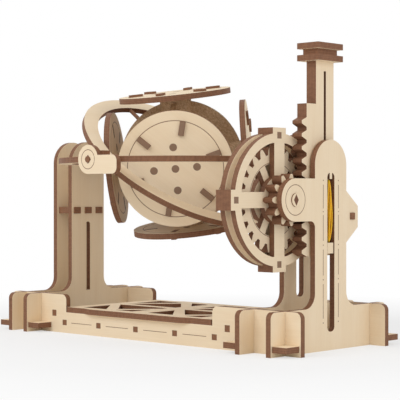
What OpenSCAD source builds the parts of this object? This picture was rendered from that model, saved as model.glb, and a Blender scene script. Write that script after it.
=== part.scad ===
// Hand-pressed answer ball: a laser-cut plywood kit. Pressing the cap drives a rack down the mast, which
// turns a pinion and a wheel, and these spin a gimbal that carries a six-faced ball.
// X runs from the left column to the mast, Y to the back, Z up from the table. Lengths are in millimetres.

/* [Sheet] */
// Thickness of the plywood sheet
ply = 2.8; // [2.6:0.1:3]
// Side clearance between layers that move past each other
layer_gap = 0.3; // [0.2:0.05:0.3]
// Radial running clearance of a shaft in its bore
run_gap = 0.06; // [0.04:0.01:0.08]

/* [Base] */
// Outside width over the two rails
rail_span = 66.4; // [64:0.4:70]
// Height of a rail's low middle part
rail_low = 10.8; // [10:0.2:12]
// Height of the rail ends and of the plates' feet
foot_high = 20; // [18:0.5:22]
// How far the end plates reach past the rails
foot_reach = 10; // [8:0.5:12]
// Outer face of the mast plate
mast_x = 96.5; // [96:0.1:97]
// Space between the two mast plates
mast_space = 15.7; // [15.7:0.1:16]
// Outer face of the left outer plate, measured to the left of the middle
left_x = 87; // [86:0.5:89]
// Space between the two left plates
left_space = 9.4; // [9:0.2:10]

/* [Columns] */
// Width of the columns
column_w = 23.6; // [23:0.2:25]
// Height of the gimbal's axis
gimbal_z = 89.3; // [88:0.1:90]
// Height of the mast plate's round top
mast_top = 98; // [97:0.5:102]
// Width of the slot in the mast plate
slot_w = 5.4; // [5:0.1:6]
// Radius of the arm round the pinion's axle
arm_r = 9.8; // [9:0.2:11]

/* [Gears] */
// Module of the teeth, the pitch circle's diameter for each tooth
gear_module = 1.9; // [1.88:0.01:1.91]
// Teeth on the pinion
pinion_teeth = 11; // [10:1:12]
// Teeth on the drive wheel
wheel_teeth = 24; // [22:1:26]
// Teeth on the gimbal's pinion
gimbal_teeth = 10; // [10:1:12]
// Pressure angle of the teeth
pressure_angle = 25; // [24:0.5:26]
// Play between meshing flanks
backlash = 0.3; // [0.2:0.05:0.4]
// Distance of the pinion's axle in front of the middle
pinion_y = 25.9; // [25.8:0.05:26]
// Radius of the axles
axle_r = 3; // [2.8:0.1:3]

/* [Press] */
// Height of the top of the press cap
cap_top = 143; // [142:0.5:145]
// Width of the press cap, front to back
cap_w = 18.6; // [18:0.2:20]
// Length of the press cap along the base
cap_long = 12.6; // [12:0.2:14]
// Width of the rack's narrow stem
stem_w = 13.2; // [12:0.2:14]
// Travel of the press
travel = 34; // [30:0.5:34]

/* [Gimbal] */
// Outer radius of the hoop
hoop_r = 63; // [63:0.5:64]
// Width of the hoop's band
hoop_band = 6.6; // [6:0.2:7]
// Outer radius of the tilted ring
ring_r = 55; // [54.5:0.1:55.2]
// Width of the ring's band
ring_band = 7.5; // [7:0.1:7.5]
// Radius of the pivot pins
pin_r = 1.5; // [1.4:0.1:1.6]
// Lean of the ring, measured from upright about the front-to-back axis
ring_lean = 126; // [100:1:150]

/* [Ball] */
// Radius of a face disc
disc_r = 28.5; // [27:0.1:28.5]
// Distance from the ball's centre to a disc's outer face
disc_out = 35.5; // [34.5:0.1:35.5]
// Turn of the ball about its corner-to-corner axis
ball_turn = -109; // [-180:1:180]

/* [Hidden] */
$fn = 72;
sheet_colour = [0.93, 0.82, 0.66];
edge_colour = [0.45, 0.27, 0.17];
column_half = column_w / 2;
rail_y = rail_span / 2;
foot_y = rail_y + foot_reach;
mast_in = mast_x - 2 * ply - mast_space;
left_in = left_x - 2 * ply - left_space;
rail_over = 9;
corner_r = 3;
bore_r = axle_r + run_gap;
pin_bore = pin_r + run_gap;

// Gear geometry: short teeth, so that ten teeth need no undercut
addendum = 0.8 * gear_module;
dedendum = 1.05 * gear_module;
pinion_pitch = gear_module * pinion_teeth / 2;
wheel_pitch = gear_module * wheel_teeth / 2;
gimbal_pitch = gear_module * gimbal_teeth / 2;
centre_gap = wheel_pitch + gimbal_pitch;
pinion_z = gimbal_z - sqrt(centre_gap * centre_gap - pinion_y * pinion_y);
mesh_angle = atan2(gimbal_z - pinion_z, pinion_y);
rack_pitch = PI * gear_module;
rack_line = pinion_pitch - pinion_y;

// Layers between the mast plates, from the inner plate outwards
rear_guard_x = mast_x - ply - mast_space;
wheel_x = rear_guard_x + ply + layer_gap;
front_guard_x = wheel_x + ply + layer_gap;
rack_x = front_guard_x + ply + layer_gap;
rack_thick = 2 * ply;

// Ball faces: angle of a face's axis from the corner-to-corner axis
face_lean = acos(1 / sqrt(3));
boss_thick = ply;
hoop_flat = hoop_r - 1;
pad_w = 16;

// A sheet standing square to X, from a profile drawn in Y and Z
module sheet_x(x, thick = ply) {
    translate([x, 0, 0]) rotate([90, 0, 90]) linear_extrude(thick) children();
}
// A sheet standing square to Y, from a profile drawn in X and Z
module sheet_y(y, thick = ply) {
    translate([0, y + thick, 0]) rotate([90, 0, 0]) linear_extrude(thick) children();
}
// A rectangle with rounded corners between two points
module round_box(low, high, r = corner_r) {
    box_w = high[0] - low[0];
    box_h = high[1] - low[1];
    translate([low[0] + r, low[1]]) square([box_w - 2 * r, box_h]);
    translate([low[0], low[1] + r]) square([box_w, box_h - 2 * r]);
    for (x = [low[0] + r, high[0] - r], y = [low[1] + r, high[1] - r]) translate([x, y]) circle(r);
}
// A fillet in the inner corner at a point, opening along the two given signs
module inner_fillet(x, y, sx, sy, r) {
    difference() {
        translate([sx > 0 ? x - 0.1 : x - r, sy > 0 ? y - 0.1 : y - r]) square([r + 0.1, r + 0.1]);
        translate([x + sx * r, y + sy * r]) circle(r);
    }
}

// The involute flank: the angle gained at radius r from base radius b
function gain(r, b) = let (t = acos(b / max(r, b))) tan(t) * 180 / PI - t;
function flank(pitch_r, teeth, r) = let (b = pitch_r * cos(pressure_angle))
    90 / teeth - backlash / 4 / pitch_r * 180 / PI + gain(pitch_r, b) - gain(max(r, b), b);
// One tooth centred on the angle a, from root to tip and back
function tooth(pitch_r, teeth, a) = let (
    root = pitch_r - dedendum,
    steps = 5,
    radii = [for (i = [0:steps]) max(root + 0.3, pitch_r * cos(pressure_angle))
        + i / steps * (pitch_r + addendum - max(root + 0.3, pitch_r * cos(pressure_angle)))])
    concat(
        [root * [cos(a - flank(pitch_r, teeth, 0)), sin(a - flank(pitch_r, teeth, 0))]],
        [for (r = radii) r * [cos(a - flank(pitch_r, teeth, r)), sin(a - flank(pitch_r, teeth, r))]],
        [for (i = [steps:-1:0]) let (r = radii[i])
            r * [cos(a + flank(pitch_r, teeth, r)), sin(a + flank(pitch_r, teeth, r))]],
        [root * [cos(a + flank(pitch_r, teeth, 0)), sin(a + flank(pitch_r, teeth, 0))]]);
module gear_profile(pitch_r, teeth, first) {
    polygon([for (k = [0:teeth - 1]) each tooth(pitch_r, teeth, first + k * 360 / teeth)]);
}

// The outline that both mast plates share: feet, column, arm for the axle and the ear at the back
module mast_outline(top) {
    shoulder = 7;
    ear_out = 9;
    round_box([-foot_y, 0], [foot_y, foot_high]);
    translate([-foot_y, 0]) square([2 * foot_y, corner_r + 1]);
    translate([-column_half, 0]) square([column_w, top - column_half]);
    translate([0, top - column_half]) circle(column_half);
    for (s = [-1, 1]) inner_fillet(s * column_half, foot_high, s, 1, shoulder);
    translate([-pinion_y, pinion_z]) circle(arm_r);
    translate([-pinion_y, pinion_z - arm_r]) square([pinion_y, 2 * arm_r]);
    inner_fillet(-column_half, pinion_z - arm_r, -1, -1, corner_r);
    ear_root = column_half - 1;
    ear_tip = column_half + ear_out;
    polygon([[ear_root, pinion_z - 21], [ear_tip, pinion_z - 13], [ear_tip, pinion_z - 3],
        [ear_root, pinion_z + 5]]);
}

// The profile of a rail: low in the middle, raised at both ends
module rail_profile() {
    low_half = 52;
    left_end = -left_x - rail_over;
    right_end = mast_x + rail_over;
    translate([left_end, 0]) square([right_end - left_end, rail_low]);
    round_box([left_end, 0], [-low_half, foot_high]);
    round_box([low_half, 0], [right_end, foot_high]);
    translate([left_end, 0]) square([right_end - left_end, corner_r + 1]);
}
// A rail has half-height slots that the end plates drop into, and small through holes for tabs
module rail(y) {
    hole = [3.2, 2.8];
    slot_fit = 0.05;
    color(sheet_colour) sheet_y(y) difference() {
        rail_profile();
        for (x = [-left_x, -left_in - ply, mast_in, mast_x - ply])
            translate([x - slot_fit, foot_high / 2]) square([ply + 2 * slot_fit, foot_high]);
        for (x = [-53.3, -27.2, 0, 27.2, 53.3]) translate([x - hole[0] / 2, 4]) square(hole);
        for (x = [-61.5, 61.5]) translate([x - hole[0] / 2, 8.4]) square([hole[0], hole[0]]);
    }
}
module front_rail() { rail(-rail_y); }
module rear_rail() { rail(rail_y - ply); }
// What the half-height slots of the rails leave in an end plate
module rail_slots() {
    slot_fit = 0.05;
    for (y = [-rail_y, rail_y - ply])
        translate([y - slot_fit, -1]) square([ply + 2 * slot_fit, foot_high / 2 + 1]);
}

// The truss deck that lies on the rails and stiffens the base
module base_lattice() {
    deck_x = 51.4;
    deck_y = rail_y + 2;
    strut = 5;
    bay = 2 * (deck_x - strut) / 2;
    module bay_holes() {
        inset = strut / 2 + 1;
        for (s = [-1, 1]) {
            polygon([[inset, s * 2.8], [bay - inset, s * 2.8], [bay / 2, s * (deck_y - 12)]]);
            polygon([[0, s * 6.5], [bay / 2 - inset, s * (deck_y - 7)], [0, s * (deck_y - 7)]]);
            polygon([[bay, s * 6.5], [bay / 2 + inset, s * (deck_y - 7)], [bay, s * (deck_y - 7)]]);
        }
    }
    color(sheet_colour) translate([0, 0, rail_low]) linear_extrude(ply) difference() {
        polygon([[-deck_x, -rail_y], [-38, -rail_y], [-32, -deck_y], [32, -deck_y], [38, -rail_y],
            [deck_x, -rail_y], [deck_x, rail_y], [38, rail_y], [32, deck_y], [-32, deck_y],
            [-38, rail_y], [-deck_x, rail_y]]);
        for (x = [-deck_x + strut, strut / 4]) translate([x, 0]) intersection() {
            bay_holes();
            translate([strut / 2, -deck_y]) square([bay - 2 * strut, 2 * deck_y]);
        }
    }
}

// Left end: two plates with one column each, a bearing for the hoop's axle and three ties
module left_profile(top) {
    shoulder = 7;
    round_box([-foot_y, 0], [foot_y, foot_high]);
    translate([-foot_y, 0]) square([2 * foot_y, corner_r + 1]);
    translate([-column_half, 0]) square([column_w, top - column_half]);
    translate([0, top - column_half]) circle(column_half);
    for (s = [-1, 1]) inner_fillet(s * column_half, foot_high, s, 1, shoulder);
}
tie_z = 62;
tie_size = [4.6, 3.4];
tie_spread = 8;
module tie_holes(fit = 0.05) {
    for (y = [-tie_spread, 0, tie_spread])
        translate([y - tie_size[0] / 2 - fit, tie_z - fit]) square([tie_size[0] + 2 * fit, tie_size[1] + 2 * fit]);
}
module left_cuts() {
    slot_half = 1.5;
    rail_slots();
    tie_holes();
    translate([-slot_half, foot_high]) square([2 * slot_half, 36]);
    translate([0, foot_high + 36]) circle(slot_half);
}
module left_inner_plate() {
    color(sheet_colour) difference() {
        sheet_x(-left_in - ply) difference() {
            left_profile(gimbal_z + column_half);
            left_cuts();
        }
        translate([-left_in - 2 * ply, 0, gimbal_z]) rotate([0, 90, 0]) cylinder(h = 3 * ply, r = bore_r);
    }
}
module left_outer_plate() {
    color(sheet_colour) sheet_x(-left_x) difference() {
        left_profile(gimbal_z + column_half);
        left_cuts();
    }
}
module left_ties() {
    end_proud = 0.6;
    color(edge_colour) for (y = [-tie_spread, 0, tie_spread])
        translate([-left_x - end_proud, y - tie_size[0] / 2, tie_z])
            cube([left_x - left_in + 2 * end_proud, tie_size[0], tie_size[1]]);
}

// Mast: the inner plate carries the wheel guard, the outer one guides the rack's hook in its slot
module mast_bores(x) {
    translate([x - 1, -pinion_y, pinion_z]) rotate([0, 90, 0]) cylinder(h = ply + 2, r = bore_r);
}
mast_tie_y = column_half + 4.5;
mast_tie_z = pinion_z - 9.4;
module mast_tie_hole(fit = 0.05) {
    translate([mast_tie_y - 1.6 - fit, mast_tie_z - fit]) square([3.2 + 2 * fit, 3.2 + 2 * fit]);
}
module mast_inner_plate() {
    color(sheet_colour) difference() {
        sheet_x(mast_in) difference() {
            mast_outline(gimbal_z + column_half);
            rail_slots();
            mast_tie_hole();
            round_box([-slot_w / 2, foot_high + 4], [slot_w / 2, pinion_z - 14], 2.4);
        }
        mast_bores(mast_in);
        translate([mast_in - 1, 0, gimbal_z]) rotate([0, 90, 0]) cylinder(h = ply + 2, r = bore_r);
    }
}
// The hook on the rack hangs in the slot, which reaches as far below it as the press travels
hook_z = 48;
slot_low = hook_z - 3 - travel - 2.4;
slot_high = 82.7;
module mast_outer_plate() {
    hook_drop = 3;
    color(sheet_colour) difference() {
        sheet_x(mast_x - ply) difference() {
            mast_outline(mast_top);
            rail_slots();
            mast_tie_hole();
            difference() {
                round_box([-slot_w / 2, slot_low], [slot_w / 2, slot_high], 2.4);
                translate([-0.9, slot_high - hook_drop]) square([1.8, hook_drop + 1]);
            }
        }
        mast_bores(mast_x - ply);
    }
}
module mast_ties() {
    end_proud = 0.6;
    color(edge_colour) translate([mast_in - end_proud, mast_tie_y - 1.6, mast_tie_z])
        cube([mast_x - mast_in + 2 * end_proud, 3.2, 3.2]);
}

// Feet: small flat pads wedged beside each plate's foot, level with the table
module foot_pads() {
    pad = [rail_over - 1, foot_reach - 1];
    pad_low = 2.2;
    color(edge_colour) for (s = [-1, 1]) {
        for (x = [mast_x + 0.05, -left_x - 0.05 - pad[0], mast_in - 0.05 - pad[0], -left_in + 0.05])
            translate([x, s > 0 ? rail_y + 0.05 : -rail_y - 0.05 - pad[1], pad_low]) cube([pad[0], pad[1], ply]);
    }
}

// Wheel guard: two ringed crosses with four stacked blocks between them
guard_in = wheel_pitch + addendum + 2;
guard_out = guard_in + 4.2;
block_in = guard_in - 0.4;
block_out = guard_out + 2.5;
block_half = 4.6;
module guard_plate(x) {
    arm_half = 3.6;
    hub = 11;
    color(sheet_colour) difference() {
        sheet_x(x) translate([-pinion_y, pinion_z]) difference() {
            union() {
                difference() {
                    circle(guard_out);
                    circle(guard_in);
                }
                circle(hub);
                for (a = [0:90:270]) rotate(a) {
                    translate([0, -arm_half]) square([guard_out - 1, 2 * arm_half]);
                    translate([block_in, -block_half]) square([block_out - block_in, 2 * block_half]);
                }
            }
            translate([pinion_y, gimbal_z - pinion_z]) circle(axle_r + 1);
        }
        translate([x - 1, -pinion_y, pinion_z]) rotate([0, 90, 0]) cylinder(h = ply + 2, r = axle_r + 0.6);
    }
}
module guard_rear() { guard_plate(rear_guard_x); }
module guard_front() { guard_plate(front_guard_x); }
module guard_blocks() {
    color(sheet_colour) for (a = [0:90:270]) sheet_x(rear_guard_x + ply, ply + 2 * layer_gap)
        translate([-pinion_y, pinion_z]) rotate(a)
            translate([block_in, -block_half]) square([block_out - block_in, 2 * block_half]);
}

// Press: a two-layer rack on a stem, with a stacked cap
rack_low = 44;
rack_teeth_top = 111.5;
stem_top = cap_top - 3 * ply;
module rack_profile() {
    root_y = rack_line + dedendum;
    flank_slope = tan(pressure_angle);
    half_at_line = rack_pitch / 4 - backlash / 4;
    count = floor((rack_teeth_top - pinion_z) / rack_pitch);
    below = floor((pinion_z - rack_low) / rack_pitch);
    translate([root_y, rack_low]) square([stem_w / 2 - root_y, rack_teeth_top + 3 - rack_low]);
    translate([-stem_w / 2, rack_low]) square([stem_w, stem_top - rack_low]);
    for (k = [-below:count]) translate([rack_line, pinion_z + k * rack_pitch]) polygon([
        [dedendum + 0.2, half_at_line + dedendum * flank_slope],
        [-addendum, half_at_line - addendum * flank_slope],
        [-addendum, -half_at_line + addendum * flank_slope],
        [dedendum + 0.2, -half_at_line - dedendum * flank_slope]]);
}
module press_rack() {
    hook_half = slot_w / 2 - 0.5;
    color(sheet_colour) {
        sheet_x(rack_x, rack_thick) difference() {
            rack_profile();
            translate([-0.8, 78]) square([1.6, 52]);
        }
        translate([rack_x + rack_thick, -hook_half, hook_z - 3])
            cube([mast_x - rack_x - rack_thick - 0.3, 2 * hook_half, 5]);
    }
}
module press_cap() {
    middle_in = 2;
    mid_x = rack_x + rack_thick / 2;
    low_z = stem_top;
    color(sheet_colour) for (layer = [[0, 0], [1, middle_in], [2, 0]])
        translate([mid_x, 0, low_z + layer[0] * ply]) linear_extrude(ply)
            square([cap_long - layer[1] * 2, cap_w - layer[1] * 2], center = true);
}
// The rubber band that lifts the press again, hooked at the slot's top and on the rack's hook
module rubber_band() {
    band_low = hook_z + 2.2;
    band_high = slot_high - 3.2;
    band_mid = (band_low + band_high) / 2;
    band_r = 1.25;
    color([0.93, 0.67, 0.05]) translate([mast_x - ply / 2, 0, 0]) rotate_extrude($fn = 24)
        polygon([[0, band_low], [0.5, band_low], [band_r * 0.8, band_low + 6], [band_r, band_mid],
            [band_r * 0.8, band_high - 6], [0.5, band_high], [0, band_high]]);
}

// Driven parts on the lower axle: pinion and wheel
module pinion_axle() {
    head = 0.5;
    color(edge_colour) translate([mast_in - head, -pinion_y, pinion_z]) rotate([0, 90, 0])
        cylinder(h = mast_x - mast_in + 2 * head, r = axle_r);
}
module pinion() {
    color(edge_colour) difference() {
        sheet_x(rack_x, rack_thick) translate([-pinion_y, pinion_z])
            gear_profile(pinion_pitch, pinion_teeth, 180 / pinion_teeth);
        translate([rack_x - 1, -pinion_y, pinion_z]) rotate([0, 90, 0])
            cylinder(h = rack_thick + 2, r = axle_r);
    }
}
module drive_wheel() {
    window_in = 8;
    window_out = wheel_pitch - dedendum - 4;
    spoke = 4;
    color(sheet_colour) difference() {
        sheet_x(wheel_x) translate([-pinion_y, pinion_z]) difference() {
            gear_profile(wheel_pitch, wheel_teeth, mesh_angle);
            difference() {
                circle(window_out);
                circle(window_in);
                for (a = [0:60:120]) rotate(a) translate([-window_out, -spoke / 2]) square([2 * window_out, spoke]);
            }
        }
        translate([wheel_x - 1, -pinion_y, pinion_z]) rotate([0, 90, 0]) cylinder(h = ply + 2, r = axle_r);
    }
}

// Hoop: a flat ring level with the gimbal axis, with padded stations at its four pivots
module pad_outline() {
    translate([hoop_r - hoop_band, -pad_w / 2]) square([hoop_band - 1, pad_w]);
}
module gimbal_hoop() {
    color(sheet_colour) difference() {
        translate([0, 0, gimbal_z - ply / 2]) linear_extrude(ply) intersection() {
            difference() {
                circle(hoop_r, $fn = 120);
                circle(hoop_r - hoop_band, $fn = 120);
            }
            square(2 * hoop_flat, center = true);
        }
        axle_bore();
        pin_bores();
    }
}
module axle_bore() {
    translate([-hoop_r - 5, 0, gimbal_z]) rotate([0, 90, 0]) cylinder(h = 2 * hoop_r + 10, r = axle_r);
}
module pin_bores() {
    translate([0, hoop_r + 5, gimbal_z]) rotate([90, 0, 0]) cylinder(h = 2 * hoop_r + 10, r = pin_bore);
}
module hoop_pads() {
    inner = hoop_r - hoop_band + 1.4;
    color(sheet_colour) difference() {
        for (z = [gimbal_z - ply * 1.5, gimbal_z + ply / 2], a = [0:90:270])
            translate([0, 0, z]) rotate(a) translate([inner, -pad_w / 2, 0])
                cube([hoop_flat - inner, pad_w, ply]);
        axle_bore();
        pin_bores();
    }
}
module hoop_axles() {
    stub_in = hoop_r - hoop_band;
    color(edge_colour) {
        translate([stub_in, 0, gimbal_z]) rotate([0, 90, 0]) cylinder(h = front_guard_x + ply - stub_in, r = axle_r);
        translate([-left_in - ply - 1, 0, gimbal_z]) rotate([0, 90, 0])
            cylinder(h = left_in + ply + 1 - stub_in, r = axle_r);
    }
}
module hoop_pinion() {
    color(edge_colour) difference() {
        sheet_x(wheel_x) translate([0, gimbal_z])
            gear_profile(gimbal_pitch, gimbal_teeth, mesh_angle + 180 + 180 / gimbal_teeth);
        translate([wheel_x - 1, 0, gimbal_z]) rotate([0, 90, 0]) cylinder(h = ply + 2, r = axle_r);
    }
}
// Bosses: rounded bars against the hoop's flats, with a bore for each pivot pin
module pivot_bosses() {
    boss_r = 7;
    bar = 20;
    color(sheet_colour) for (s = [-1, 1]) difference() {
        sheet_y(s > 0 ? hoop_flat : -hoop_flat - boss_thick) {
            translate([0, gimbal_z]) circle(boss_r);
            round_box([-3, gimbal_z - boss_r], [bar, gimbal_z + 2], 3);
        }
        pin_bores();
    }
}

// Ring: stands inside the hoop on two pins along Y, and carries the ball on two more pins
module at_ring() {
    translate([0, 0, gimbal_z]) rotate([0, ring_lean, 0]) children();
}
module gimbal_ring() {
    color(sheet_colour) at_ring() difference() {
        translate([-ply / 2, 0, 0]) rotate([90, 0, 90]) linear_extrude(ply) difference() {
            circle(ring_r, $fn = 120);
            circle(ring_r - ring_band, $fn = 120);
        }
        for (s = [-1, 1]) translate([0, s * ring_r, 0]) rotate([90, 0, 0])
            cylinder(h = 3 * ring_band, r = ring_pin_r, center = true);
        translate([0, 0, -ring_r - 1]) cylinder(h = 2 * ring_r + 2, r = ring_pin_r + run_gap);
    }
}
ring_pin_r = 1;
module ring_pins() {
    inner = ring_r - ring_band + 1;
    step = ring_r + 0.2;
    outer = hoop_flat + boss_thick + 0.5;
    color(edge_colour) for (s = [0, 180]) translate([0, 0, gimbal_z]) rotate([90, 0, s]) {
        translate([0, 0, inner]) cylinder(h = step - inner, r = ring_pin_r);
        translate([0, 0, step]) cylinder(h = outer - step, r = pin_r);
    }
}
module ball_pins() {
    inner = 30;
    color(edge_colour) at_ring() for (s = [0, 180]) rotate([0, s, 0])
        translate([0, 0, inner]) cylinder(h = ring_r - 0.3 - inner, r = ring_pin_r);
}

// Ball: six face discs, held by three crossed ribs on the corner-to-corner pins
module at_face(k) {
    third = k % 3;
    flip = k < 3 ? 0 : 180;
    at_ring() rotate([0, 0, ball_turn + 120 * third]) rotate([0, face_lean + flip, 0]) children();
}
tab_ring = 20;
module face_disc(k) {
    tab = [7, 2.6, 1.2];
    color(sheet_colour) at_face(k) {
        translate([0, 0, disc_out - ply]) cylinder(h = ply, r = disc_r, $fn = 90);
        for (a = [0:60:300]) rotate(a) translate([tab_ring - tab[0] / 2, -tab[1] / 2, disc_out])
            cube(tab);
    }
}
module disc_1() { face_disc(0); }
module disc_2() { face_disc(1); }
module disc_3() { face_disc(2); }
module disc_4() { face_disc(3); }
module disc_5() { face_disc(4); }
module disc_6() { face_disc(5); }
module ball_ribs() {
    core_r = 31.5;
    core_w = 9;
    spoke_r = 3.5;
    face_in = disc_out - ply;
    color(edge_colour) difference() {
        union() {
            for (k = [0:2]) at_face(k) {
                difference() {
                    translate([0, 0, -ply / 2]) cylinder(h = ply, r = core_r);
                    translate([0, 0, -ply]) cylinder(h = 2 * ply, r = core_r - core_w);
                }
                for (s = [-1, 1]) translate([0, 0, s > 0 ? core_r - core_w + 1 : -face_in])
                    cylinder(h = face_in - core_r + core_w - 1, r = 8);
                translate([0, 0, 1 - face_in]) cylinder(h = 2 * face_in - 2, r = spoke_r);
            }
            at_ring() translate([0, 0, -34]) difference() {
                cylinder(h = 68, r = 3.5);
                translate([0, 0, 6]) cylinder(h = 56, r = 2);
            }
        }
        at_ring() for (s = [0, 180]) rotate([0, s, 0]) translate([0, 0, 30]) cylinder(h = 10, r = ring_pin_r);
    }
}

// The origin is on the table at the middle of the base, so the model moves by half the plates' difference
translate([(left_x - mast_x) / 2, 0, 0]) {
    front_rail();
    rear_rail();
    base_lattice();
    left_inner_plate();
    left_outer_plate();
    left_ties();
    mast_inner_plate();
    mast_outer_plate();
    mast_ties();
    foot_pads();
    guard_rear();
    guard_front();
    guard_blocks();
    press_rack();
    press_cap();
    rubber_band();
    pinion_axle();
    pinion();
    drive_wheel();
    gimbal_hoop();
    hoop_pads();
    hoop_axles();
    hoop_pinion();
    pivot_bosses();
    gimbal_ring();
    ring_pins();
    ball_pins();
    ball_ribs();
    disc_1();
    disc_2();
    disc_3();
    disc_4();
    disc_5();
    disc_6();
}
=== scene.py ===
import math

import bmesh
import bpy
from mathutils import Matrix, Vector


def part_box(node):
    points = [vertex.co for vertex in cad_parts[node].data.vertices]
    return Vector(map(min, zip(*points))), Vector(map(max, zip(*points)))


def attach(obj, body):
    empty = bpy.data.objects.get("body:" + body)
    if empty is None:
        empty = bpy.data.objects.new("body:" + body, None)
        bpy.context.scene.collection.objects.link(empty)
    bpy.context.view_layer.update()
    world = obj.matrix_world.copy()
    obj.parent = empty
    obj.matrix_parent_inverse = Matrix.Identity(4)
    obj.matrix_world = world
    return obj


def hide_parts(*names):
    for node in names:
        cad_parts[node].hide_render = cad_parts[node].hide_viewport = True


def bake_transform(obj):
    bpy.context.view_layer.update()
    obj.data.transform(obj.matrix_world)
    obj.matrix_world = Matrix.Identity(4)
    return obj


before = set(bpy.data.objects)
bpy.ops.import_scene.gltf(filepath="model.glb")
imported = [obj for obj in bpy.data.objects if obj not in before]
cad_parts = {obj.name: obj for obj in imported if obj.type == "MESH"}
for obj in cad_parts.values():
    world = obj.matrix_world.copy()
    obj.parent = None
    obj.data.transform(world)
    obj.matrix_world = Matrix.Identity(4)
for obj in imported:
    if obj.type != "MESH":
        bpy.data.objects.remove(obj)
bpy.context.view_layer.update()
mm = 0.001

# Camera: level with the ball, at the photograph's angle from the front right, with a long lens.
# Its place and lens come from a camera fitted to the base's slots and edges in the photograph.
camera_place = Vector((483.35, -503.9, 73.3)) * mm
camera_turn = 43.33
camera_pitch = 0.307
camera_lens = 122.84
camera_data = bpy.data.cameras.new("camera")
camera = bpy.data.objects.new("camera", camera_data)
bpy.context.scene.collection.objects.link(camera)
camera.location = camera_place
camera.rotation_euler = (math.radians(90 - camera_pitch), 0, math.radians(camera_turn))
camera_data.lens = camera_lens
camera_data.sensor_width = 36
bpy.context.scene.camera = camera


# Birch sheet: pale rotary-cut veneer on both faces, and edges that the laser has browned in plies.
# Every sheet piece wears it, turned so that its faces and its grain lie as they were cut.
class Value:
    """A number that varies over a surface, with Python's operators as Math nodes."""

    def __init__(self, tree, socket):
        self.tree = tree
        self.socket = socket

    def maths(self, operation, *others, clamp=False):
        made = self.tree.nodes.new("ShaderNodeMath")
        made.operation = operation
        made.use_clamp = clamp
        for slot, given in zip(made.inputs, (self, *others)):
            if isinstance(given, Value):
                self.tree.links.new(given.socket, slot)
            else:
                slot.default_value = given
        return Value(self.tree, made.outputs[0])

    def __add__(self, other):
        return self.maths("ADD", other)

    def __sub__(self, other):
        return self.maths("SUBTRACT", other)

    def __rsub__(self, other):
        return (self * -1) + other

    def __mul__(self, other):
        return self.maths("MULTIPLY", other)

    def __truediv__(self, other):
        return self.maths("DIVIDE", other)

    def __abs__(self):
        return self.maths("ABSOLUTE")

    def sine(self):
        return self.maths("SINE")

    def root(self):
        return self.maths("SQRT")

    def below(self, limit):
        return self.maths("LESS_THAN", limit)

    def above(self, limit):
        return self.maths("GREATER_THAN", limit)

    def most(self, other):
        return self.maths("MAXIMUM", other)

    def clamped(self):
        return self.maths("ADD", 0.0, clamp=True)

    def soft_below(self, limit, edge):
        """1 under the limit, falling to 0 over the width of edge."""
        return ((self * -1 + limit + edge) / edge).clamped()

    __radd__ = __add__
    __rmul__ = __mul__


class Finish:
    """A material being made: its nodes, its object coordinates and its surface normal."""

    def __init__(self, name):
        self.material = bpy.data.materials.new(name)
        self.material.use_nodes = True
        self.tree = self.material.node_tree
        self.shader = self.tree.nodes["Principled BSDF"]
        place = self.tree.nodes.new("ShaderNodeTexCoord")
        self.place = place.outputs["Object"]
        self.normal = place.outputs["Normal"]

    def add(self, kind, settings=None, inputs=None):
        made = self.tree.nodes.new(kind)
        for name, value in (settings or {}).items():
            setattr(made, name, value)
        for name, value in (inputs or {}).items():
            if isinstance(value, Value):
                self.tree.links.new(value.socket, made.inputs[name])
            elif isinstance(value, bpy.types.NodeSocket):
                self.tree.links.new(value, made.inputs[name])
            else:
                made.inputs[name].default_value = value
        return made

    def along(self, vector, direction):
        made = self.add("ShaderNodeVectorMath", {"operation": "DOT_PRODUCT"}, {0: vector, 1: tuple(direction)})
        return Value(self.tree, made.outputs["Value"])

    def grain(self, across, length, width, detail=3.0):
        """Noise stretched along the grain; across holds the grain's direction and the one across it."""
        first, second, third = across
        combined = self.add("ShaderNodeCombineXYZ", None, {
            "X": self.along(self.place, first) / length,
            "Y": self.along(self.place, second) / width,
            "Z": self.along(self.place, third) / width,
        })
        noise = self.add("ShaderNodeTexNoise", None, {
            "Vector": combined.outputs[0], "Scale": 1.0, "Detail": detail, "Roughness": 0.6,
        })
        return Value(self.tree, noise.outputs[0])

    def blend_colour(self, amount, first, second):
        made = self.add("ShaderNodeMix", {"data_type": "RGBA"})
        colour_in = [s for s in made.inputs if s.type == "RGBA"]
        factor = [s for s in made.inputs if s.type == "VALUE"][0]
        if isinstance(amount, Value):
            self.tree.links.new(amount.socket, factor)
        else:
            factor.default_value = amount
        for slot, value in zip(colour_in, (first, second)):
            if isinstance(value, tuple):
                slot.default_value = (*value, 1.0)
            else:
                self.tree.links.new(value, slot)
        return [s for s in made.outputs if s.type == "RGBA"][0]

    def close(self, colour, roughness, height=None, depth=0.2 * mm):
        self.tree.links.new(colour, self.shader.inputs["Base Color"])
        if isinstance(roughness, Value):
            self.tree.links.new(roughness.socket, self.shader.inputs["Roughness"])
        else:
            self.shader.inputs["Roughness"].default_value = roughness
        self.shader.inputs["Specular IOR Level"].default_value = 0.25
        if height is not None:
            bump = self.add("ShaderNodeBump", None, {"Strength": 0.35, "Distance": depth, "Height": height})
            self.tree.links.new(bump.outputs[0], self.shader.inputs["Normal"])
        return self.material


# Half the width of an engraved line
fine_line = 0.16
broad_line = 0.18

pale_veneer = (0.89, 0.74, 0.54)
warm_veneer = (0.79, 0.61, 0.40)
burnt_brown = (0.155, 0.066, 0.035)
singed_brown = (0.30, 0.145, 0.075)
ply_layer = 0.93 * mm


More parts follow.
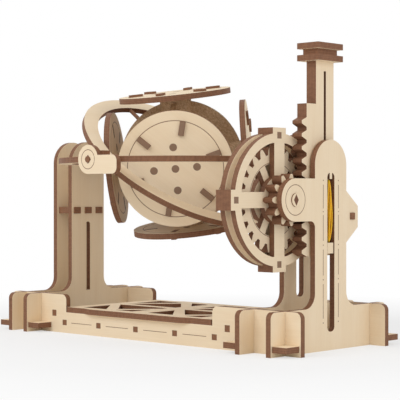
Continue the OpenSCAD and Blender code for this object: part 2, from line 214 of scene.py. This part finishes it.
def plywood(name, square_to, grain_along, marks=None):
    """Veneer on the faces square to one direction, burnt plies on every edge, engraved where marks says."""
    finish = Finish(name)
    square = Vector(square_to).normalized()
    grain = Vector(grain_along).normalized()
    across = square.cross(grain).normalized()
    facing = abs(finish.along(finish.normal, square)).above(0.7)
    streaks = finish.grain((grain, across, square), 22 * mm, 0.55 * mm)
    clouds = finish.grain((grain, across, square), 38 * mm, 7 * mm, 2.0)
    tone = (streaks * 0.62 + clouds * 0.75 - 0.30).clamped()
    veneer = finish.blend_colour(tone, pale_veneer, warm_veneer)
    scorch = finish.grain((square, grain, across), 3 * mm, 1.3 * mm)
    plies = (finish.along(finish.place, square) * (2 * math.pi / ply_layer)).sine() * 0.16
    edge_tone = (scorch * 1.1 + plies - 0.12).clamped()
    edge = finish.blend_colour(edge_tone, burnt_brown, singed_brown)
    height = streaks
    if marks:
        u = finish.along(finish.place, grain)
        v = finish.along(finish.place, across)
        engraved = marks(u, v) * facing
        veneer = finish.blend_colour(engraved * 0.85, veneer, burnt_brown)
        height = streaks - engraved * 1.5
    colour = finish.blend_colour(facing, edge, veneer)
    return finish.close(colour, streaks * 0.15 + 0.52, height)


def dress(node_name, material):
    """Gives a CAD piece its finish."""
    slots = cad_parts[node_name].data.materials
    slots.clear()
    slots.append(material)


x_way, y_way, z_way = Vector((1, 0, 0)), Vector((0, 1, 0)), Vector((0, 0, 1))

# Base: two rails with low middles, joined by a truss deck that lies on them.
# Tabs of the cross pieces come through the rails and show their browned ends, between engraved dashes.
tab_height = 5.4
tab_places = (-53.3, -27.2, 0, 27.2, 53.3)
dash_share = 0.30
deck_low, deck_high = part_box("base_lattice")
middle_x = (deck_low.x + deck_high.x) / 2


def rail_dashes(u, v):
    line = abs(abs(v) - tab_height * mm).below(fine_line * mm)
    between = None
    for low, high in zip(tab_places, tab_places[1:]):
        middle = middle_x + (low + high) / 2 * mm
        dash = abs(u - middle).below(dash_share * (high - low) * mm)
        between = dash if between is None else between.most(dash)
    return line * between


rail_finish = plywood("birch_rail", y_way, x_way, rail_dashes)
dress("front_rail", rail_finish)
dress("rear_rail", rail_finish)
dress("base_lattice", plywood("birch_deck", z_way, x_way))


def repeated_blocks(name, size, start, step, count, material):
    """A row of equal blocks, made with geometry nodes from one named size, start and step."""
    tree = bpy.data.node_groups.new(name + "_row", "GeometryNodeTree")
    tree.interface.new_socket("Geometry", in_out="OUTPUT", socket_type="NodeSocketGeometry")
    given = {}
    for label, kind, value in (("Block size", "NodeSocketVector", size), ("Start", "NodeSocketVector", start),
                               ("Step", "NodeSocketVector", step), ("Count", "NodeSocketInt", count)):
        socket = tree.interface.new_socket(label, in_out="INPUT", socket_type=kind)
        given[label] = (socket.identifier, value)
    inside = tree.nodes.new("NodeGroupInput")
    outside = tree.nodes.new("NodeGroupOutput")
    line = tree.nodes.new("GeometryNodeMeshLine")
    line.mode = "OFFSET"
    cube = tree.nodes.new("GeometryNodeMeshCube")
    copies = tree.nodes.new("GeometryNodeInstanceOnPoints")
    real = tree.nodes.new("GeometryNodeRealizeInstances")
    coat = tree.nodes.new("GeometryNodeSetMaterial")
    coat.inputs["Material"].default_value = material
    link = tree.links.new
    link(inside.outputs["Count"], line.inputs["Count"])
    link(inside.outputs["Start"], line.inputs["Start Location"])
    link(inside.outputs["Step"], line.inputs["Offset"])
    link(inside.outputs["Block size"], cube.inputs["Size"])
    link(line.outputs[0], copies.inputs["Points"])
    link(cube.outputs[0], copies.inputs["Instance"])
    link(copies.outputs[0], real.inputs[0])
    link(real.outputs[0], coat.inputs["Geometry"])
    link(coat.outputs[0], outside.inputs[0])
    holder = bpy.data.objects.new(name + "_holder", bpy.data.meshes.new(name + "_seed"))
    bpy.context.scene.collection.objects.link(holder)
    row = holder.modifiers.new("row", "NODES")
    row.node_group = tree
    for identifier, value in given.values():
        row[identifier] = value
    bpy.context.view_layer.update()
    evaluated = holder.evaluated_get(bpy.context.evaluated_depsgraph_get())
    mesh = bpy.data.meshes.new_from_object(evaluated)
    piece = bpy.data.objects.new(name, mesh)
    bpy.context.scene.collection.objects.link(piece)
    bpy.data.objects.remove(holder)
    return piece


def burnt(name, grain_along=(1, 0, 0), dark=burnt_brown, light=singed_brown):
    """End grain that the laser browned on every side."""
    finish = Finish(name)
    grain = Vector(grain_along)
    side = grain.orthogonal().normalized()
    scorch = finish.grain((grain, side, grain.cross(side)), 2.4 * mm, 0.7 * mm)
    colour = finish.blend_colour((scorch * 1.5 - 0.2).clamped(), dark, light)
    return finish.close(colour, scorch * 0.2 + 0.55, scorch)


tab_finish = burnt("browned_tab", (0, 1, 0))
rail_front, rail_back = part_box("front_rail")
tab_deep = rail_back.y - rail_front.y - 0.3 * mm
tab_size = (3.1 * mm, tab_deep, 2.7 * mm)
end_tab_size = (3.1 * mm, tab_deep, 3.1 * mm)
end_tab = 61.5
# Name ending, block size, first place, step along the rail, height and count
tab_rows = (
    ("_tabs", tab_size, tab_places[1], tab_places[2] - tab_places[1], tab_height, 3),
    ("_outer_tabs", tab_size, tab_places[0], tab_places[4] - tab_places[0], tab_height, 2),
    ("_end_tabs", end_tab_size, -end_tab, 2 * end_tab, 10, 2),
)
for rail_name in ("front_rail", "rear_rail"):
    low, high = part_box(rail_name)
    middle_y = (low.y + high.y) / 2
    for ending, size, first, step, height, count in tab_rows:
        row = repeated_blocks(rail_name + ending, size, (middle_x + first * mm, middle_y, height * mm),
                              (step * mm, 0, 0), count, tab_finish)
        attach(row, "stand")

# Left end: two column plates with slots, tied by three pegs whose browned ends show on the face.
upright_finish = plywood("birch_upright", x_way, z_way)
dress("left_inner_plate", upright_finish)
dress("left_outer_plate", upright_finish)
dress("left_ties", tab_finish)

# Mast: the outer plate has engraved dashes beside its slot and a ring round the axle.
# The maker's words on the real plate are left off, so its round top is bare.
axle_low, axle_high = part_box("pinion_axle")
axle_y = (axle_low.y + axle_high.y) / 2
axle_z = (axle_low.z + axle_high.z) / 2
line_from_slot = 5.7
mast_dashes = ((15, 31), (35, 47), (51, 63), (66, 77))
mast_dots = (13, 33, 49, 64.5, 79)
dot_half = 0.28
arm_ring_r = 6.9


def mast_lines(u, v):
    """Dashes and dots up both sides of the slot; u is the height and v runs to the front."""
    from_line = abs(abs(v) - line_from_slot * mm)
    beside = from_line.below(0.2 * mm)
    dashes = None
    for low, high in mast_dashes:
        span = abs(u - (low + high) / 2 * mm).below((high - low) / 2 * mm)
        dashes = span if dashes is None else dashes.most(span)
    dots = None
    for height in mast_dots:
        dot = abs(u - height * mm).below(dot_half * mm) * from_line.below(dot_half * mm)
        dots = dot if dots is None else dots.most(dot)
    away_y = v + axle_y
    away_z = u - axle_z
    radius = (away_y * away_y + away_z * away_z).root()
    ring = abs(radius - arm_ring_r * mm).below(broad_line * mm)
    return (beside * dashes).most(dots).most(ring)


dress("mast_outer_plate", plywood("birch_mast", x_way, z_way, mast_lines))
dress("mast_inner_plate", upright_finish)
dress("mast_ties", tab_finish)
dress("foot_pads", plywood("birch_pads", z_way, x_way))

# Wheel guard: two crossed rings round the drive wheel, held apart by four stacked blocks.
# The blocks' browned tab ends show as small squares on its four ears.
ear_middle = 29.5
ear_tab_half = 1.5


def guard_marks(u, v):
    from_y = abs(u - axle_y)
    from_z = abs(v - axle_z)
    beside = abs(from_y - ear_middle * mm).most(from_z).below(ear_tab_half * mm)
    above = abs(from_z - ear_middle * mm).most(from_y).below(ear_tab_half * mm)
    return beside.most(above)


guard_finish = plywood("birch_guard", x_way, y_way, guard_marks)
dress("guard_rear", guard_finish)
dress("guard_front", guard_finish)
dress("guard_blocks", guard_finish)


# Press: a two-layer rack below a cap of three small stacked sheets that the palm pushes.
dress("press_rack", plywood("birch_rack", x_way, z_way))
dress("press_cap", plywood("birch_cap", z_way, y_way))

# Driven parts: the pinion is browned all round its teeth, and its axle ends in a dark diamond.
wheel_line_r = 17.2
axle_diamond = (1.7, 2.7)


def wheel_marks(u, v):
    away_y = u - axle_y
    away_z = v - axle_z
    radius = (away_y * away_y + away_z * away_z).root()
    return abs(radius - wheel_line_r * mm).below(fine_line * mm)


dress("drive_wheel", plywood("birch_wheel", x_way, y_way, wheel_marks))
dress("pinion", plywood("birch_pinion", x_way, z_way))


def axle_end_finish():
    finish = Finish("axle_with_diamond_end")
    from_y = abs(finish.along(finish.place, y_way) - axle_y)
    from_z = abs(finish.along(finish.place, z_way) - axle_z)
    half_wide, half_high = axle_diamond
    diamond = (from_y / (half_wide * mm) + from_z / (half_high * mm)).below(1.0)
    facing = abs(finish.along(finish.normal, x_way)).above(0.7)
    streaks = finish.grain((z_way, y_way, x_way), 14 * mm, 0.5 * mm)
    veneer = finish.blend_colour(streaks, pale_veneer, warm_veneer)
    ends = finish.blend_colour(diamond, veneer, burnt_brown)
    sides = finish.blend_colour(streaks, burnt_brown, singed_brown)
    return finish.close(finish.blend_colour(facing, sides, ends), streaks * 0.2 + 0.5, streaks)


dress("pinion_axle", axle_end_finish())

# Hoop: a flat ring with three-layer stations at its pivots, browned axles and rounded bosses.
hoop_finish = plywood("birch_hoop", z_way, x_way)
dress("gimbal_hoop", hoop_finish)
dress("hoop_pads", hoop_finish)
dress("hoop_axles", burnt("browned_axle", (1, 0, 0)))
dress("hoop_pinion", plywood("birch_hoop_pinion", x_way, z_way))
hoop_low, hoop_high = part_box("gimbal_hoop")
gimbal_z = (hoop_low.z + hoop_high.z) / 2
boss_ring_r = 4.6
boss_diamond = 2.2


def boss_marks(u, v):
    away_x = u - middle_x
    away_z = abs(v) - gimbal_z
    radius = (away_x * away_x + away_z * away_z).root()
    ring = abs(radius - boss_ring_r * mm).below(broad_line * mm)
    diamond = (abs(away_x) / (boss_diamond * mm) + abs(away_z) / (boss_diamond * mm)).below(1.0)
    return ring.most(diamond)


dress("pivot_bosses", plywood("birch_boss", y_way, x_way, boss_marks))

# Ring: leans inside the hoop on two browned pins, and carries the ball on two more.
ring_lean = math.radians(126)
lean_turn = Matrix.Rotation(ring_lean, 3, "Y")
dress("gimbal_ring", plywood("birch_ring", lean_turn @ x_way, lean_turn @ y_way))
pin_finish = burnt("browned_pin", (0, 1, 0))
dress("ring_pins", pin_finish)
dress("ball_pins", pin_finish)

# Ball: six discs on tan ribs. The real discs carry words; these carry a plain die's pips.
# Each disc has an engraved circle near its rim and six tab ends inside it.
ball_turn = math.radians(-109)
face_lean = math.acos(1 / math.sqrt(3))
pip_gap = 7.5
pip_r = 1.9
line_r = 23.6
tab_ring = 20
tab_long = 7.2
tab_wide = 2.8
pip_sets = (
    ((0, 0),),
    ((-1, -1), (1, 1)),
    ((-1, -1), (0, 0), (1, 1)),
    ((-1, -1), (-1, 1), (1, -1), (1, 1)),
    ((-1, -1), (-1, 1), (0, 0), (1, -1), (1, 1)),
    ((-1, -1), (-1, 0), (-1, 1), (1, -1), (1, 0), (1, 1)),
)
ball_centre = Vector((middle_x, 0, gimbal_z))


def disc_axes(number):
    """The disc's own axes in the rest pose, the third one pointing out of the ball."""
    flip = math.pi if number > 2 else 0
    turn = lean_turn @ Matrix.Rotation(ball_turn + math.radians(120 * (number % 3)), 3, "Z")
    turn = turn @ Matrix.Rotation(face_lean + flip, 3, "Y")
    return turn @ x_way, turn @ y_way, turn @ z_way


def disc_marks_for(number, grain, across):
    centre_u = ball_centre.dot(grain)
    centre_v = ball_centre.dot(across)

    def marks(u, v):
        x = u - centre_u
        y = v - centre_v
        drawn = abs((x * x + y * y).root() - line_r * mm).below(0.2 * mm)
        for across_count, up_count in pip_sets[number]:
            away_x = x - across_count * pip_gap * mm
            away_y = y - up_count * pip_gap * mm
            drawn = drawn.most((away_x * away_x + away_y * away_y).root().below(pip_r * mm))
        for turn in (0, math.pi / 3, 2 * math.pi / 3):
            out = abs(x * math.cos(turn) + y * math.sin(turn))
            side = abs(y * math.cos(turn) - x * math.sin(turn))
            tab = abs(out - tab_ring * mm).below(tab_long / 2 * mm) * side.below(tab_wide / 2 * mm)
            drawn = drawn.most(tab)
        return drawn

    return marks


pip_order = (4, 2, 0, 1, 3, 5)
for number in range(6):
    first, second, outward = disc_axes(number)
    grain = first
    across = outward.cross(grain).normalized()
    marks = disc_marks_for(pip_order[number], grain, across)
    dress(f"disc_{number + 1}", plywood(f"birch_disc_{number + 1}", outward, grain, marks))
dress("ball_ribs", burnt("tan_ribs", lean_turn @ z_way, singed_brown, warm_veneer))

# Rubber band: a hank of yellow strands from the hook in the mast's slot to the hook on the rack.
strand_count = 7
strand_r = 0.42
strand_sides = 8
strand_rings = 24
band_low, band_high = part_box("rubber_band")
band_middle = (band_low + band_high) / 2
belly_y = 1.9
belly_x = 1.9


def rubber_finish():
    finish = Finish("yellow_rubber")
    mottle = finish.grain((z_way, x_way, y_way), 6 * mm, 0.8 * mm)
    colour = finish.blend_colour(mottle, (0.90, 0.52, 0.02), (0.80, 0.40, 0.01))
    material = finish.close(colour, mottle * 0.15 + 0.38, mottle, 0.05 * mm)
    finish.shader.inputs["Subsurface Weight"].default_value = 0.15
    finish.shader.inputs["Subsurface Scale"].default_value = 1.5 * mm
    return material


def strand_point(strand, share):
    around = 2 * math.pi * strand / strand_count
    inner = 0.0 if strand == 0 else 1.0
    swell = math.sin(math.pi * share) ** 0.7
    twist = around + 0.9 * share
    return Vector((
        band_middle.x + inner * belly_x * mm * swell * math.cos(twist),
        band_middle.y + inner * belly_y * mm * swell * math.sin(twist),
        band_low.z + share * (band_high.z - band_low.z),
    ))


def rubber_band_mesh():
    shape = bmesh.new()
    side_angles = [2 * math.pi * side / strand_sides for side in range(strand_sides)]
    for strand in range(strand_count):
        rings = []
        for ring in range(strand_rings + 1):
            share = ring / strand_rings
            centre = strand_point(strand, share)
            rings.append([
                shape.verts.new(centre + strand_r * mm * Vector((math.cos(angle), math.sin(angle), 0)))
                for angle in side_angles
            ])
        for low_ring, high_ring in zip(rings, rings[1:]):
            for side in range(strand_sides):
                after = (side + 1) % strand_sides
                shape.faces.new((low_ring[side], low_ring[after], high_ring[after], high_ring[side]))
        shape.faces.new(rings[0][::-1])
        shape.faces.new(rings[-1])
    for face in shape.faces:
        face.smooth = len(face.verts) == 4
    mesh = bpy.data.meshes.new("rubber_strands")
    shape.to_mesh(mesh)
    shape.free()
    return mesh


band = bpy.data.objects.new("rubber_strands", rubber_band_mesh())
bpy.context.scene.collection.objects.link(band)
band.data.materials.append(rubber_finish())
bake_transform(band)
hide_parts("rubber_band")


# Floor and light: a white table that fades into a white room, a broad key from the upper left and a fill.
def seen_rays(tree):
    """1 for the rays that show the room itself, 0 for those that only light the part."""
    path = tree.nodes.new("ShaderNodeLightPath")
    seen = Value(tree, path.outputs["Is Camera Ray"])
    for kind in ("Is Glossy Ray", "Is Transmission Ray"):
        seen = seen.most(Value(tree, path.outputs[kind]))
    return seen


def stage_floor():
    mesh = bpy.data.meshes.new("floor")
    reach = 6.0
    mesh.from_pydata([(-reach, -reach, 0), (reach, -reach, 0), (reach, reach, 0), (-reach, reach, 0)], [],
                     [(0, 1, 2, 3)])
    floor = bpy.data.objects.new("floor", mesh)
    bpy.context.scene.collection.objects.link(floor)
    finish = Finish("white_table")
    tree = finish.tree
    x = finish.along(finish.place, x_way)
    y = finish.along(finish.place, y_way)
    away = (x * x + y * y).root()
    near = away.soft_below(0.14, 0.16)
    finish.shader.inputs["Base Color"].default_value = (0.86, 0.86, 0.86, 1)
    finish.shader.inputs["Roughness"].default_value = 0.9
    finish.shader.inputs["Specular IOR Level"].default_value = 0.0
    white = finish.add("ShaderNodeEmission", None, {"Color": (1, 1, 1, 1), "Strength": 1.0})
    mixed = tree.nodes.new("ShaderNodeMixShader")
    share = seen_rays(tree) * (1 - near * 0.45)
    tree.links.new(share.socket, mixed.inputs[0])
    tree.links.new(finish.shader.outputs[0], mixed.inputs[1])
    tree.links.new(white.outputs[0], mixed.inputs[2])
    tree.links.new(mixed.outputs[0], tree.nodes["Material Output"].inputs["Surface"])
    mesh.materials.append(finish.material)


stage_floor()

world = bpy.data.worlds.new("white_room")
bpy.context.scene.world = world
world.use_nodes = True
world_tree = world.node_tree
room = world_tree.nodes["Background"]
room.inputs["Color"].default_value = (1, 1, 1, 1)
room_level = 0.62
strength = seen_rays(world_tree) * (1 - room_level) + room_level
world_tree.links.new(strength.socket, room.inputs["Strength"])


def soft_lamp(name, place, aim, size, power):
    data = bpy.data.lights.new(name, "AREA")
    data.size = size
    data.energy = power
    lamp = bpy.data.objects.new(name, data)
    bpy.context.scene.collection.objects.link(lamp)
    lamp.location = place
    lamp.rotation_euler = (Vector(aim) - Vector(place)).to_track_quat("-Z", "Y").to_euler()


soft_lamp("key", (-0.1, -0.75, 0.75), (0, 0, 0.06), 0.7, 4.2)
soft_lamp("fill", (0.85, 0.05, 0.40), (0, 0, 0.06), 0.6, 1.6)

bpy.context.scene.view_settings.view_transform = "Standard"
